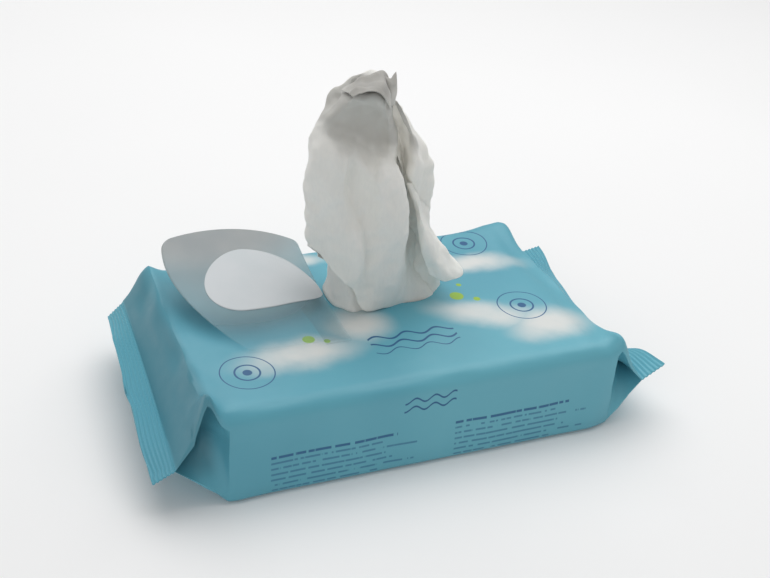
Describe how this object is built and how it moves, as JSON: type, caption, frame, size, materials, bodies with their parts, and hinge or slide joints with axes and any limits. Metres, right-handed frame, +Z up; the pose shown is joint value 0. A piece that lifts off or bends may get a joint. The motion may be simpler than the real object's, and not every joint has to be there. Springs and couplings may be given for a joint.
{
  "type": "wet wipes pack",
  "caption": "Opened film pack of wet wipes with crimped end fins, a peeled-back resealable label, a teardrop opening and one wipe pulled up through it.",
  "frame": {"origin": "middle of the pack's underside", "axes": "X along the pack from its left to its right end fin, Y from front to back, Z up"},
  "size_m": [0.26, 0.1302, 0.166],
  "materials": {
    "printed_film": "satin printed polyethylene film, teal with soft pale fields",
    "wipe_cloth": "damp off-white non-woven cloth",
    "frosted_film": "frosted translucent label film",
    "film_back": "plain white back of the pouch film"
  },
  "bodies": {
    "root": {"film_pouch": "printed_film", "wipe_stack": "wipe_cloth", "pulled_wipe": "wipe_cloth", "resealable_label": "frosted_film", "opening_patch": "film_back"}
  },
  "joints": []
}
